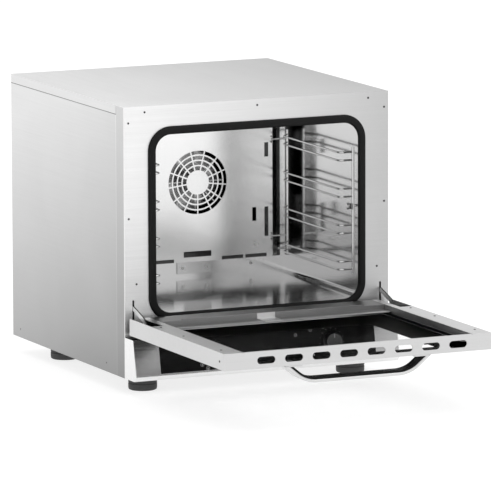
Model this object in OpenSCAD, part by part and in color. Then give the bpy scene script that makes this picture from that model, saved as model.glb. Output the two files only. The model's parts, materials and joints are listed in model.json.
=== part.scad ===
// Counter-top combi steamer oven with a drop-down door, shown with its door open.
// X runs across the front, -Y points out of the door, Z is up. The origin is on the
// surface the oven stands on, midway between the open door's end and the rear fittings.
// Inside the modules Y is measured from the front frame's plane.

/* [Casing] */
// Width of the casing
body_w = 590; // [580:1:610]
// Depth from the front frame's plane to the back panel
body_d = 587; // [580:1:620]
// Height from the surface it stands on to the top cover
body_h = 586.5; // [580:0.5:600]
// Height of the feet
foot_h = 34; // [30:1:40]
// Radius of a foot
foot_r = 29.5; // [24:0.5:32]
// Thickness of the casing sheet
skin = 1.5; // [1:0.1:2]
// Depth of the front frame's side returns
frame_return = 40; // [30:1:50]
// Depth of the top cover's side lips
lip_h = 19; // [15:1:25]
// How far the longest rear fitting stands behind the back panel
rear_reach = 30; // [28:1:40]

/* [Cavity] */
// Half width between the cavity's side walls
cavity_half_w = 240; // [236:1:242]
// Height of the cavity floor above the standing surface
cavity_floor = 162; // [161:0.5:164]
// Height of the cavity ceiling
cavity_top = 530; // [529:0.5:534]
// Distance from the front plane to the cavity's back wall
cavity_d = 395; // [390:1:400]
// Distance from the front plane to the fan baffle
baffle_y = 335; // [330:1:340]
// Distance of the fan's axis from the middle of the cavity
fan_x = 17.8; // [0:0.1:20]
// Height of the fan's axis
fan_z = 370.4; // [365:0.1:375]
// Radius of the baffle's round fan grille
grille_r = 66.5; // [60:0.5:70]
// Number of spokes across the grille
spokes = 13; // [9:2:15]

/* [Racks] */
// Number of tray levels
levels = 4; // [3:1:4]
// Height of the lowest tray wire
first_level = 217; // [215:0.5:220]
// Distance between levels
level_pitch = 75.4; // [74:0.1:76]
// Distance from a level's lower wire to its upper wire
wire_gap = 16.6; // [16:0.1:18]
// Radius of the tray wires
wire_r = 2; // [1.5:0.1:2.2]
// Radius of the rack posts
post_r = 3; // [2.5:0.1:3.2]

/* [Door] */
// Width of the door
door_w = 583.6; // [580:0.2:586]
// Length of the door from its hinge end to its slotted end
door_len = 459.6; // [455:0.2:462]
// Thickness of the door
door_t = 33.9; // [33:0.1:35]
// Height of the open door's outer face
door_z = 124.9; // [124.5:0.1:126]
// Gap between the closed door and the front plane
door_gap = 7; // [6.9:0.1:8]
// Gap between the open door's hinge end and the front plane
hinge_gap = 15.6; // [15:0.1:16]
// Width of the door's inner side borders
door_border = 42; // [40:1:44]
// Number of slots in the door's end
end_slots = 8; // [6:1:8]
// Distance between those slots
slot_pitch = 59.9; // [58:0.1:60]

/* [Control panel] */
// How far the housing's top edge stands in front of the front plane
fascia_top_reach = 40; // [38:1:42]
// How far its lowest edge stands in front of the front plane
fascia_low_reach = 55; // [52:1:58]
// Height of the housing's top, under the door
fascia_top = 118; // [116:0.5:118]
// Place of the knob across the front
knob_x = 144; // [130:1:160]
// Radius of the knob
knob_r = 17.5; // [15:0.5:20]

/* [Hidden] */

$fn = 48;
half_w = body_w / 2;
door_reach = hinge_gap + door_len;
front_y = -(body_d + rear_reach - door_reach) / 2;
fit = 0.05;                     // running clearance of a pin in its bore

// Casing
in_w = half_w - skin;
in_back = body_d - skin;
lip_z = body_h - lip_h;
foot_x = 233.6;
foot_ys = [53, 456];
bolt_r = 4;

// Cavity opening, gasket and liner
gasket_w = 242.5;
gasket_low = 146;
gasket_high = 543;
gasket_bead = 15;
gasket_h = 6.7;
gasket_r = 50;
gasket_base_h = 3;
gasket_bulb_inset = 3.5;
opening_w = 229;
opening_low = 159.5;
opening_high = 530.5;
liner_t = 1.5;
wool_t = 20;
wool_front = 62;

// Fan group, measured along Y
back_wall = cavity_d + liner_t;
baffle_back = baffle_y + skin;
baffle_half = 189;
wing = 25;
baffle_low = 204;
shaft_r = 4;
motor_y = back_wall + wool_t;
motor_r = 50;
impeller_y = baffle_back + 8;
impeller_back = cavity_d - 12;
heater_r = 88;
heater_leg_r = 2.6;
heater_leg_z = fan_z - sqrt(heater_r * heater_r - 14 * 14);
standoff_x = 150;
standoff_zs = [232, 505];

// Racks
guide_x = 201;
front_post = [232, 35];
rear_post = [221, 331];
guide_rear_y = 303;
bend_r = 8;
post_low = 207;
post_high = 470;
hook_zs = [247, 451];
foot_bracket_x = [-4, 73.5];
bracket_t = 4;
rivet_xs = [8, 62, 166];         // under the baffle, two on its bracket and one on the wall

// Door and its linkage
door_half = door_w / 2;
door_top = door_z + door_t;
pivot_y = -(hinge_gap + (door_t + door_gap)) / 2;
pivot_z = door_z - pivot_y - hinge_gap;
sheet = 1.5;
glass_t = 4;
inner_glass_z = door_z + door_t - 14.8;
slot_shift = 8.5;
holder_half = 204;              // half width of the glass holder's raised edge
handle_y = -(door_reach - 19.2);
handle_wide = 36;
handle_foot_x = 142;
handle_straight = 95;
handle_low = 87;
strap_t = 6.5;
liner_skin = 0.8;
window_hinge_y = -(hinge_gap + 59);
window_end_y = -(door_reach - 4.2);
window_half = door_half - door_border;
ledge = 16;
ledge_hinge = 24;
ledge_end = 6;
panel_setback = 1;               // clears the gasket as the door closes
slit_w = 0.9;
notch_x = [264, door_half - sheet];
notch_y = -120;
pin_r = 4;
arm_pin_r = 2.5;
leaf_x = [267, 271];
arm_x = [275, 278];
arm_slot_z = [140, 193];
leaf_slot_z = [129, 146];
cheek_t = 1.8;
arm_pin = [-70, 145];
arm_half = 4.5;
arm_path = [arm_pin, [-50, 161.5], [-4, 176], [30, 183]];
receiver_x = [262, 266.9];

// Control panel
fascia_bottom = 34.4;
fascia_lip = 10;
face_low = [-fascia_low_reach, fascia_bottom + fascia_lip];
face_high = [-fascia_top_reach, fascia_top];
face_tilt = atan((face_high[0] - face_low[0]) / (face_high[1] - face_low[1]));
face_len = norm(face_high - face_low);
glass_x = [-240, 242];
panel_low = 4;
panel_high = 71;
knob_up = 41;
spindle_r = 3;

// Rear fittings
inlet = [-205, 120];
inlet_r = 13.2;
outlet = [-95, 500];
outlet_r = 16;
gland = [215, 105];
vent = [150, 130];
rotor_r = 36;

module at_front() { translate([0, front_y, 0]) children(); }
module block(low, high) { translate(low) cube(high - low); }
module both_sides() { for (side = [0, 1]) mirror([side, 0, 0]) children(); }

// Extrudes an outline given in X and Z from y0 to y1
module across_y(y0, y1) {
    translate([0, y1, 0]) rotate([90, 0, 0]) linear_extrude(y1 - y0) children();
}

// Extrudes an outline given in Y and Z from x0 to x1
module across_x(x0, x1) {
    translate([x0, 0, 0]) rotate([90, 0, 90]) linear_extrude(x1 - x0) children();
}

// Round bar along Y from y0 to y1
module y_bar(x, z, y0, y1, r) {
    translate([x, y1, z]) rotate([90, 0, 0]) cylinder(r = r, h = y1 - y0);
}

// Round bar along X from x0 to x1
module x_bar(y, z, x0, x1, r) {
    translate([x0, y, z]) rotate([0, 90, 0]) cylinder(r = r, h = x1 - x0);
}

// Round bar between two points
module rod(from, to, r) {
    d = to - from;
    turn = [0, acos(d[2] / norm(d)), atan2(d[1], d[0])];
    translate(from) rotate(turn) cylinder(r = r, h = norm(d));
}

module rounded_rect(low, high, r) {
    translate([low[0] + r, low[1]]) square([high[0] - low[0] - 2 * r, high[1] - low[1]]);
    translate([low[0], low[1] + r]) square([high[0] - low[0], high[1] - low[1] - 2 * r]);
    for (x = [low[0] + r, high[0] - r], z = [low[1] + r, high[1] - r])
        translate([x, z]) circle(r);
}

function unit(v) = v / norm(v);
function left_of(v) = [-v[1], v[0]];

// Point beside path[i], so that the strip's edge stays d from its centre line
function beside(path, i, d) = let (
    before = unit(path[max(i, 1)] - path[max(i, 1) - 1]),
    after = unit(path[min(i, len(path) - 2) + 1] - path[min(i, len(path) - 2)]),
    way = unit(left_of(before + after)))
    path[i] + way * d / (way * left_of(before));

// Flat bar of constant width along a list of 2D points
module strip(path, half) {
    last = len(path) - 1;
    polygon(concat([for (i = [0:last]) beside(path, i, half)],
        [for (i = [last:-1:0]) beside(path, i, -half)]));
}

// Places children on the control panel's sloping face: X across, Y up the face, Z outwards
module on_face() {
    translate([0, face_low[0], face_low[1]]) rotate([90 - face_tilt, 0, 0]) children();
}

// ---------------------------------------------------------------- casing

module base_pan() {
    rim = 16;
    color("silver") at_front() difference() {
        union() {
            block([-in_w, skin, foot_h], [in_w, in_back, foot_h + skin]);
            both_sides() block([in_w - skin, skin, foot_h], [in_w, in_back, foot_h + rim]);
        }
        for (x = [-foot_x, foot_x], y = foot_ys)
            translate([x, y, foot_h - 1]) cylinder(r = bolt_r, h = skin + 2);
    }
}

module side_panel() {
    joggle = 14;
    difference() {
        union() {
            block([in_w, frame_return, foot_h], [half_w, body_d, lip_z]);
            block([in_w - skin, frame_return + 6, lip_z - joggle], [in_w, in_back, lip_z + joggle]);
        }
        x_bar(95, 52, in_w - 5, half_w + 1, 1.6);
        x_bar(body_d - 40, 52, in_w - 5, half_w + 1, 1.6);
    }
}
module left_side_panel() { color("lightgray") at_front() mirror([1, 0, 0]) side_panel(); }
module right_side_panel() { color("lightgray") at_front() side_panel(); }

module top_cover() {
    color("gainsboro") at_front() {
        block([-half_w, skin, body_h - skin], [half_w, body_d, body_h]);
        both_sides() block([in_w, frame_return + 1, lip_z], [half_w, body_d, body_h - skin]);
        block([-in_w, in_back, lip_z], [in_w, body_d, body_h - skin]);
    }
}

module back_panel() {
    louvre_w = 70;
    louvre_h = 4;
    color("silver") at_front() difference() {
        across_y(in_back, body_d)
            translate([-in_w, foot_h]) square([2 * in_w, lip_z - foot_h]);
        for (column = [-1, 0, 1], row = [0:6])
            across_y(in_back - 1, body_d + 1) translate([column * 95, 370 + row * 14])
                rounded_rect([-louvre_w / 2, 0], [louvre_w / 2, louvre_h], 1.9);
        y_bar(inlet[0], inlet[1], in_back - 1, body_d + 1, inlet_r + 1);
        y_bar(outlet[0], outlet[1], in_back - 1, body_d + 1, outlet_r + 1);
        y_bar(gland[0], gland[1], in_back - 1, body_d + 1, 10);
        for (r = [12:6:36])
            across_y(in_back - 1, body_d + 1) translate(vent) difference() {
                circle(r);
                circle(r - 3.5);
                for (turn = [0, 60, 120]) rotate(turn) square([80, 3], center = true);
            }
    }
}

module front_frame() {
    color("whitesmoke") at_front() difference() {
        union() {
            across_y(0, skin) translate([-half_w, foot_h]) square([body_w, body_h - foot_h]);
            both_sides() block([in_w, skin, foot_h], [half_w, frame_return, body_h - skin]);
        }
        across_y(-1, skin + 1)
            rounded_rect([-opening_w, opening_low], [opening_w, opening_high], 37);
        both_sides() {
            block([leaf_x[0] - 0.4, -1, leaf_slot_z[0]], [leaf_x[1] + 0.4, skin + 1, leaf_slot_z[1]]);
            block([arm_x[0] - 0.6, -1, arm_slot_z[0]], [arm_x[1] + 0.6, skin + 1, arm_slot_z[1]]);
        }
        for (p = frame_screw_points()) y_bar(p[0], p[1], -1, skin + 1, 1.5);
    }
}

function frame_screw_points() = concat(
    [[0, body_h - 12]],
    [for (s = [-1, 1], p = [[249.5, 574.5], [285.5, 554], [285.5, 359.5], [269, 225.7]])
        [s * p[0], p[1]]]);

module frame_screws() {
    color("gray") at_front() for (p = frame_screw_points()) {
        y_bar(p[0], p[1], -0.8, 0, 2.6);
        y_bar(p[0], p[1], 0, 8, 1.5);
    }
}

module casing_screws() {
    color("gray") at_front() both_sides() for (y = [95, body_d - 40]) {
        x_bar(y, 52, in_w - 6, half_w, 1.5);
    }
}

module foot(x, y) {
    edge = 4;
    color("#303030") at_front() translate([x, y, 0]) rotate_extrude() difference() {
        union() {
            square([foot_r - edge, foot_h]);
            translate([0, edge]) square([foot_r, foot_h - edge - 3]);
            translate([foot_r - edge, edge]) circle(edge);
            translate([0, foot_h - 4]) square([foot_r - 2, 4]);
        }
        translate([-50, -10]) square([50, 60]);
        translate([-1, 12]) square([bolt_r + 1, 40]);
    }
}
module front_left_foot() { foot(-foot_x, foot_ys[0]); }
module front_right_foot() { foot(foot_x, foot_ys[0]); }
module rear_left_foot() { foot(-foot_x, foot_ys[1]); }
module rear_right_foot() { foot(foot_x, foot_ys[1]); }

module foot_bolts() {
    color("gray") at_front() for (x = [-foot_x, foot_x], y = foot_ys) {
        translate([x, y, 14]) cylinder(r = bolt_r, h = foot_h + skin - 14);
        translate([x, y, foot_h + skin]) cylinder(r = 7.5, h = 5, $fn = 6);
    }
}

// ---------------------------------------------------------------- cavity

module cavity_liner() {
    w = cavity_half_w;
    t = liner_t;
    color("gainsboro") at_front() difference() {
        across_y(skin, back_wall)
            rounded_rect([-w - t, cavity_floor - t], [w + t, cavity_top + t], 10);
        across_y(skin - 1, cavity_d) rounded_rect([-w, cavity_floor], [w, cavity_top], 8.5);
        y_bar(fan_x, fan_z, cavity_d - 1, back_wall + 1, shaft_r + 6);
        y_bar(outlet[0], outlet[1], cavity_d - 1, back_wall + 1, outlet_r + 0.2);
        y_bar(inlet[0] + 90, 250, cavity_d - 1, back_wall + 1, 4.2);
        for (dx = [-14, 14])
            y_bar(fan_x + dx, heater_leg_z, cavity_d - 1, back_wall + 1, heater_leg_r + 0.2);
    }
}

module cavity_insulation() {
    w = cavity_half_w + liner_t;
    low = cavity_floor - liner_t;
    high = cavity_top + liner_t;
    color("khaki") at_front() difference() {
        across_y(wool_front, back_wall + wool_t)
            rounded_rect([-w - wool_t, low - wool_t], [w + wool_t, high + wool_t], 14);
        across_y(wool_front - 1, back_wall) rounded_rect([-w, low], [w, high], 10);
        y_bar(fan_x, fan_z, back_wall - 1, motor_y + 1, shaft_r + 8);
        for (x = [-40, 40], z = [-40, 40])
            y_bar(fan_x + x, fan_z + z, back_wall - 1, motor_y + 1, 6.5);
        y_bar(outlet[0], outlet[1], back_wall - 1, motor_y + 1, outlet_r + 0.5);
        y_bar(inlet[0] + 90, 250, back_wall - 1, motor_y + 1, 4.6);
        for (dx = [-14, 14])
            y_bar(fan_x + dx, heater_leg_z, back_wall - 1, motor_y + 1, heater_leg_r + 1);
    }
}

// Ring round the opening that stands h high, with its edges inset from the gasket's
module gasket_ring(inset, h) {
    w = gasket_w - inset;
    hole = gasket_w - gasket_bead + inset;
    across_y(-h, 0) difference() {
        rounded_rect([-w, gasket_low + inset], [w, gasket_high - inset], gasket_r - inset);
        rounded_rect([-hole, gasket_low + gasket_bead - inset],
            [hole, gasket_high - gasket_bead + inset], gasket_r - gasket_bead + inset);
    }
}

module cavity_gasket() {
    color("#202020") at_front() {
        gasket_ring(0, gasket_base_h);
        gasket_ring(gasket_bulb_inset, gasket_h);
    }
}

module grille_slots() {
    rings = [[25.5, 34], [37, 45], [48, 56], [59, grille_r]];
    for (ring = rings) difference() {
        circle(ring[1]);
        circle(ring[0]);
        for (i = [0:spokes - 1]) rotate(-90 + i * 360 / spokes)
            translate([0, -1.4]) square([grille_r + 5, 2.8]);
    }
}

module fan_baffle() {
    slot_w = 49;
    color("gainsboro") at_front() difference() {
        union() {
            across_y(baffle_y, baffle_back) translate([-baffle_half, baffle_low])
                square([2 * baffle_half, cavity_top - baffle_low - 0.5]);
            both_sides() translate([baffle_half, baffle_y, baffle_low]) rotate([0, 0, 45])
                cube([wing, skin, cavity_top - baffle_low - 0.5]);
        }
        across_y(baffle_y - 1, baffle_back + 1) {
            translate([fan_x, fan_z]) grille_slots();
            translate([fan_x - 32.5, 214]) square([63, 12]);
            for (x = [-133, -79, 79, 133])
                translate([fan_x + x - slot_w / 2, baffle_low - 1]) square([slot_w, 9]);
            for (s = [-1, 1]) {
                translate([s * 175 - 4.5, 415]) square([9, 30]);
                translate([s * 175 - 4.5, 247.5]) square([9, 62]);
                translate([s * 147 - 4.5, 281]) square([9, 29]);
            }
        }
        for (x = [-standoff_x, standoff_x], z = standoff_zs)
            y_bar(x, z, baffle_y - 1, baffle_back + 1, 2.2);
    }
}

module baffle_standoffs() {
    color("silver") at_front() {
        for (x = [-standoff_x, standoff_x], z = standoff_zs) difference() {
            y_bar(x, z, baffle_back, cavity_d, 5);
            y_bar(x, z, baffle_back - 1, baffle_back + 12, 2);
        }
        block([foot_bracket_x[0], cavity_d - bracket_t, cavity_floor + 8],
            [foot_bracket_x[1], cavity_d, baffle_low - 10]);
    }
}

module baffle_screws() {
    color("gray") at_front() {
        for (x = [-standoff_x, standoff_x], z = standoff_zs) {
            y_bar(x, z, baffle_y - 1.6, baffle_y, 4);
            y_bar(x, z, baffle_y, baffle_back + 10, 2);
        }
        for (x = rivet_xs) let (base = cavity_d - (x < foot_bracket_x[1] ? bracket_t : 0))
            y_bar(x, 182, base - 2, base, 3);
    }
}

module heating_ring() {
    tube = 3.5;
    coils = [cavity_d - 42, cavity_d - 31, cavity_d - 20];
    color("dimgray") at_front() {
        for (y = coils) translate([fan_x, y, fan_z]) rotate([90, 0, 0])
            rotate_extrude() translate([heater_r, 0]) circle(tube, $fn = 24);
        for (dx = [-14, 14])
            y_bar(fan_x + dx, heater_leg_z, coils[0], motor_y + 12, heater_leg_r);
    }
}

module fan_motor() {
    color("dimgray") at_front() difference() {
        union() {
            across_y(motor_y, motor_y + 2) translate([fan_x, fan_z])
                rounded_rect([-56, -56], [56, 56], 8);
            for (x = [-40, 40], z = [-40, 40])
                y_bar(fan_x + x, fan_z + z, back_wall, motor_y, 6);
            y_bar(fan_x, fan_z, motor_y + 2, motor_y + 60, motor_r);
            y_bar(fan_x, fan_z, motor_y + 60, motor_y + 72, motor_r - 14);
        }
        y_bar(fan_x, fan_z, motor_y - 1, motor_y + 50, shaft_r + fit);
    }
}

module motor_shaft() {
    color("silver") at_front()
        y_bar(fan_x, fan_z, impeller_y + 2, motor_y + 49, shaft_r);
}

module fan_impeller() {
    blades = 8;
    color("silver") at_front() translate([fan_x, 0, fan_z]) difference() {
        union() {
            y_bar(0, 0, impeller_y, impeller_back, 12);
            y_bar(0, 0, impeller_back - 2, impeller_back, 64);
            for (i = [0:blades - 1]) rotate([0, i * 360 / blades, 0])
                block([10, impeller_y + 4, -1], [62, impeller_back - 1, 1]);
        }
        y_bar(0, 0, impeller_y + 2, impeller_back + 1, shaft_r);
    }
}

// ---------------------------------------------------------------- racks

function level_z(i) = first_level + i * level_pitch;

// One tray wire: out from the front post, back along the tray, out to the rear post
module tray_wire(z) {
    run = rear_post - [guide_x, guide_rear_y];
    stop = rear_post - run * (post_r / norm(run));
    rod([guide_x + bend_r, front_post[1], z], [front_post[0] - post_r, front_post[1], z], wire_r);
    translate([guide_x + bend_r, front_post[1] + bend_r, z]) rotate([0, 0, 180])
        rotate_extrude(angle = 90) translate([bend_r, 0]) circle(wire_r, $fn = 24);
    rod([guide_x, front_post[1] + bend_r, z], [guide_x, guide_rear_y, z], wire_r);
    translate([guide_x, guide_rear_y, z]) sphere(wire_r);
    rod([guide_x, guide_rear_y, z], [stop[0], stop[1], z], wire_r);
}

module rack_guides() {
    for (i = [0:levels - 1], rise = [0, wire_gap]) tray_wire(level_z(i) + rise);
}

module rack_posts() {
    for (p = [front_post, rear_post])
        translate([p[0], p[1], post_low]) cylinder(r = post_r, h = post_high - post_low);
    for (z = hook_zs)
        rod([rear_post[0], baffle_y - 2.2, z], [184, baffle_y - 2.2, z], wire_r);
}
module left_rack_posts() { color("silver") at_front() mirror([1, 0, 0]) rack_posts(); }
module right_rack_posts() { color("silver") at_front() rack_posts(); }
module left_rack_guides() { color("silver") at_front() mirror([1, 0, 0]) rack_guides(); }
module right_rack_guides() { color("silver") at_front() rack_guides(); }

module rack_thumb_screws() {
    z = 347;
    y = front_post[1] + 9;
    color("silver") at_front() both_sides() {
        x_bar(y, z, 221, 226.5, 6.5);
        x_bar(y, z, 226.5, cavity_half_w, 2.5);
        difference() {
            block([227, front_post[1] - 5, z - 6], [229, y + 6, z + 6]);
            x_bar(y, z, 226, 230, 2.5);
        }
    }
}

module temperature_probe() {
    color("gray") at_front() {
        x_bar(366, 214, 214, cavity_half_w, 2.5);
        x_bar(366, 214, cavity_half_w - 3, cavity_half_w, 6);
    }
}

// ---------------------------------------------------------------- control panel

module fascia_profile(inset) {
    polygon([
        [-inset, fascia_bottom + inset], [face_low[0] + fascia_lip + inset, fascia_bottom + inset],
        [face_low[0] + inset, face_low[1] + inset * 0.4],
        [face_high[0] + inset, face_high[1] - inset], [-inset, face_high[1] - inset]]);
}

module fascia_housing() {
    color("silver") at_front() difference() {
        across_x(-half_w, half_w) fascia_profile(0);
        across_x(-in_w, in_w) fascia_profile(skin);
        block([-in_w, -skin - 1, fascia_bottom + 8], [in_w, 1, fascia_top - 8]);
        on_face() translate([glass_x[0], panel_low, -5])
            cube([glass_x[1] - glass_x[0], panel_high - panel_low, 10]);
    }
}

module control_glass() {
    glass_thick = 3;
    color("#101012") at_front() on_face() difference() {
        translate([glass_x[0] + 0.2, panel_low + 0.2, 0.4 - glass_thick])
            cube([glass_x[1] - glass_x[0] - 0.4, panel_high - panel_low - 0.4, glass_thick]);
        translate([knob_x, knob_up, -5]) cylinder(r = spindle_r + 1, h = 10);
    }
}

module control_board() {
    color("darkgreen") at_front() on_face() difference() {
        translate([-200, 8, -10]) cube([400, 58, 1.6]);
        translate([knob_x, knob_up, -12]) cylinder(r = 5, h = 6);
    }
}

module knob_encoder() {
    color("dimgray") at_front() on_face() difference() {
        union() {
            translate([knob_x - 8, knob_up - 8, -18]) cube([16, 16, 8]);
            translate([knob_x, knob_up, -10]) cylinder(r = 4.9, h = 5);
        }
        translate([knob_x, knob_up, -17]) cylinder(r = spindle_r + fit, h = 20);
    }
}

module control_knob() {
    color("silver") at_front() on_face() translate([knob_x, knob_up, 0]) {
        translate([0, 0, -16]) cylinder(r = spindle_r, h = 18);
        translate([0, 0, 1.2]) cylinder(r = knob_r + 1.5, h = 2.2);
        translate([0, 0, 3.4]) cylinder(r = knob_r, h = 13);
        translate([-0.9, 6, 16.4]) cube([1.8, knob_r - 7, 0.5]);
    }
}

// ---------------------------------------------------------------- rear and services

module cooling_fan_housing() {
    depth = 25;
    inner_y = in_back - depth;
    color("#282828") at_front() difference() {
        across_y(inner_y, in_back) translate(vent) rounded_rect([-40, -40], [40, 40], 5);
        y_bar(vent[0], vent[1], inner_y + 3, in_back + 1, rotor_r + 1.5);
        across_y(inner_y - 1, inner_y + 4) translate(vent) difference() {
            circle(rotor_r + 1.5);
            circle(14);
            for (turn = [0, 90]) rotate(turn) square([80, 4], center = true);
        }
        y_bar(vent[0], vent[1], inner_y + 1, in_back + 1, 2 + fit);
    }
}

module cooling_fan_rotor() {
    near = in_back - 3;
    far = in_back - 20;
    color("#383838") at_front() translate([vent[0], 0, vent[1]]) {
        y_bar(0, 0, far, near, 13);
        y_bar(0, 0, in_back - 23.5, far, 2);
        for (i = [0:6]) rotate([0, i * 360 / 7, 0])
            translate([12, (near + far) / 2, 0]) rotate([35, 0, 0])
                translate([0, -7, -0.8]) cube([rotor_r - 12, 14, 1.6]);
    }
}

module water_valve() {
    color("white") at_front() difference() {
        union() {
            y_bar(inlet[0], inlet[1], body_d, body_d + rear_reach, inlet_r);
            y_bar(inlet[0], inlet[1], in_back - 30, body_d, inlet_r + 0.6);
            block([inlet[0] - 16, in_back - 62, inlet[1] - 18], [inlet[0] + 16, in_back - 30,
                inlet[1] + 34]);
        }
        y_bar(inlet[0], inlet[1], in_back - 40, body_d + rear_reach + 1, 8.5);
        translate([inlet[0], in_back - 46, inlet[1] + 20]) cylinder(r = 3, h = 20);
    }
}

module injection_pipe() {
    x = inlet[0];
    y = in_back - 46;
    target = [inlet[0] + 90, 250];
    color("peru") at_front() {
        rod([x, y, inlet[1] + 22], [x, y, target[1]], 3);
        translate([x, y, target[1]]) sphere(3);
        rod([x, y, target[1]], [target[0], y, target[1]], 3);
        translate([target[0], y, target[1]]) sphere(3);
        y_bar(target[0], target[1], cavity_d - 6, y, 3);
    }
}

module steam_outlet() {
    color("gainsboro") at_front() difference() {
        union() {
            y_bar(outlet[0], outlet[1], cavity_d - 3, body_d + rear_reach, outlet_r);
            y_bar(outlet[0], outlet[1], body_d, body_d + 2, outlet_r + 7);
        }
        y_bar(outlet[0], outlet[1], cavity_d - 4, body_d + rear_reach + 1, outlet_r - 1.5);
    }
}

module cable_gland() {
    color("#202020") at_front() difference() {
        union() {
            y_bar(gland[0], gland[1], in_back - 12, body_d + 8, 9.8);
            y_bar(gland[0], gland[1], body_d, body_d + 6, 14);
            y_bar(gland[0], gland[1], body_d + 8, body_d + 20, 8.5);
        }
        y_bar(gland[0], gland[1], in_back - 13, body_d + 21, 4.5);
    }
}

// ---------------------------------------------------------------- hinges

module hinge_leaf() {
    across_x(leaf_x[0], leaf_x[1]) difference() {
        union() {
            translate([pivot_y, pivot_z]) circle(8);
            translate([pivot_y, pivot_z - 6.5]) square([-pivot_y + 48, 13]);
            translate([12, pivot_z - 10]) square([36, 32]);
        }
        translate([pivot_y, pivot_z]) circle(pin_r + fit);
    }
}
module left_hinge_leaf() { color("gray") at_front() mirror([1, 0, 0]) hinge_leaf(); }
module right_hinge_leaf() { color("gray") at_front() hinge_leaf(); }

module hinge_receivers() {
    color("dimgray") at_front() both_sides() {
        block([receiver_x[0], skin, 118], [receiver_x[1], 58, 206]);
        block([246, skin, 118], [receiver_x[0], skin + 2, 206]);
        x_bar(22, 169, receiver_x[1], 281, 4);
    }
}

module hinge_pins() {
    color("silver") at_front() both_sides() {
        x_bar(pivot_y, pivot_z, leaf_x[0] - 1.5, arm_x[0] - 0.4, pin_r);
        x_bar(arm_pin[0], arm_pin[1], arm_x[0] - 2.2, arm_x[1] + 2.2, arm_pin_r);
    }
}

module hinge_arm() {
    across_x(arm_x[0], arm_x[1]) difference() {
        union() {
            strip(arm_path, arm_half);
            translate(arm_pin) circle(arm_half + 1.5);
        }
        translate(arm_pin) circle(arm_pin_r + fit);
    }
}
module left_hinge_arm() { color("gray") at_front() mirror([1, 0, 0]) hinge_arm(); }
module right_hinge_arm() { color("gray") at_front() hinge_arm(); }

module hinge_cassette() {
    far = -330;
    low = door_z + glass_t + 0.6;
    high = door_top - sheet;
    for (x = [arm_x[0] - 0.4 - cheek_t, arm_x[1] + 0.4]) difference() {
        union() {
            block([x, far, low], [x + cheek_t, notch_y, high]);
            block([x, notch_y, low], [x + cheek_t, -20, high - 6]);
        }
        x_bar(pivot_y, pivot_z, x - 1, x + cheek_t + 1, pin_r);
        x_bar(arm_pin[0], arm_pin[1], x - 1, x + cheek_t + 1, arm_pin_r);
    }
    block([arm_x[0] - 0.4, far, low], [arm_x[1] + 0.4, notch_y - 20, low + 1.5]);
}
module left_hinge_cassette() { color("dimgray") at_front() mirror([1, 0, 0]) hinge_cassette(); }
module right_hinge_cassette() { color("dimgray") at_front() hinge_cassette(); }

// ---------------------------------------------------------------- door, drawn open

// Opening in the door's hinge end that the leaf plate and the arm pass through
module hinge_notches(low) {
    both_sides()
        block([notch_x[0], notch_y, low], [notch_x[1], -hinge_gap + 1, door_top + 1]);
}

module door_shell() {
    seat = door_z + glass_t;
    high = door_top - sheet;
    rim = 8;
    slot_w = 39;
    slot_h = 14.5;
    color("whitesmoke") at_front() difference() {
        block([-door_half, -door_reach, door_z], [door_half, -hinge_gap, high]);
        block([-door_half + sheet, -door_reach + sheet, seat + sheet],
            [door_half - sheet, -hinge_gap - sheet, high + 1]);
        block([-door_half + sheet, -door_reach + sheet, door_z - 1],
            [door_half - sheet, -hinge_gap - sheet, seat]);
        block([-door_half + rim, -door_reach + rim, door_z - 1],
            [door_half - rim, -hinge_gap - rim, high]);
        for (i = [0:end_slots - 1])
            across_y(-door_reach - 1, -door_reach + sheet + 1)
                translate([(i - (end_slots - 1) / 2) * slot_pitch + slot_shift, 140.5])
                    rounded_rect([-slot_w / 2, -slot_h / 2], [slot_w / 2, slot_h / 2], 7.2);
        hinge_notches(seat);
    }
}

module door_inner_panel() {
    low = inner_glass_z - sheet;
    wall = 1.2;
    w = window_half;
    color("whitesmoke") at_front() difference() {
        union() {
            block([-door_half, -door_reach, door_top - sheet],
                [door_half, -hinge_gap - panel_setback, door_top]);
            block([-w - wall, window_end_y - wall, low],
                [w + wall, window_hinge_y + wall, door_top - 0.1]);
        }
        block([-w, window_end_y, inner_glass_z], [w, window_hinge_y, door_top + 1]);
        block([-w + ledge, window_end_y + ledge_end, low - 1],
            [w - ledge, window_hinge_y - ledge_hinge, door_top + 1]);
        // The end wall stops above the slots, so that they open into the space under the glass
        block([-w + 8, window_end_y - wall - 1, low - 1],
            [w - 8, window_end_y + ledge_end + 0.1, inner_glass_z + glass_t + 0.4]);
        hinge_notches(low);
        both_sides() block([w - slit_w, -door_reach - 1, door_top - sheet - 1],
            [w, window_end_y, door_top + 1]);
    }
}

module outer_glass() {
    edge = sheet + 0.1;
    color("#101012") at_front() difference() {
        block([-door_half + edge, -door_reach + edge, door_z],
            [door_half - edge, -hinge_gap - edge, door_z + glass_t]);
        for (x = [-handle_foot_x, handle_foot_x])
            translate([x, handle_y, door_z - 1]) cylinder(r = 4, h = glass_t + 2);
    }
}

module inner_glass() {
    gap = 0.4;
    w = window_half - gap;
    color([0.7, 0.8, 0.8, 0.3]) at_front()
        block([-w, window_end_y + gap, inner_glass_z],
            [w, window_hinge_y - gap, inner_glass_z + glass_t]);
}

// Angle strip that holds the inner glass along its hinge side
module glass_holder() {
    w = window_half - 0.6;
    top = inner_glass_z + glass_t;
    wall_y = window_hinge_y - sheet;
    color("silver") at_front() {
        block([-holder_half, wall_y, top], [holder_half, window_hinge_y, door_top + 2.2]);
        block([-w, wall_y, top], [w, window_hinge_y, door_top - 0.2]);
        block([-w, window_hinge_y - ledge_hinge, top], [w, wall_y, top + 1.2]);
    }
}

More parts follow.
